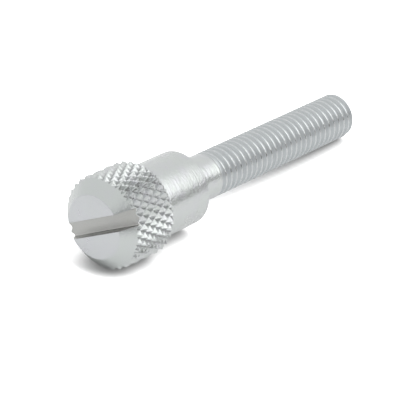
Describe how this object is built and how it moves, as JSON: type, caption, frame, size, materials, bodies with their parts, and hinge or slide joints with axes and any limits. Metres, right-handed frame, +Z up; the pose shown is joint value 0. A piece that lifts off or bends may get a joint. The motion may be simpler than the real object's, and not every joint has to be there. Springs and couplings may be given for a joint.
{
  "type": "throttle stop screw",
  "caption": "Turned throttle stop screw with a slotted, diamond-knurled head, a plain collar, a short neck and a long fine-threaded shank with a flat tip.",
  "frame": {"origin": "centre of the bounding box, on the surface that the screw lies on", "axes": "+X from the head towards the tip, level; +Z up"},
  "size_m": [0.0388, 0.0096, 0.0099],
  "materials": {
    "zinc_plate": "satin"
  },
  "bodies": {
    "root": {"stop_screw": "zinc_plate"}
  },
  "joints": []
}
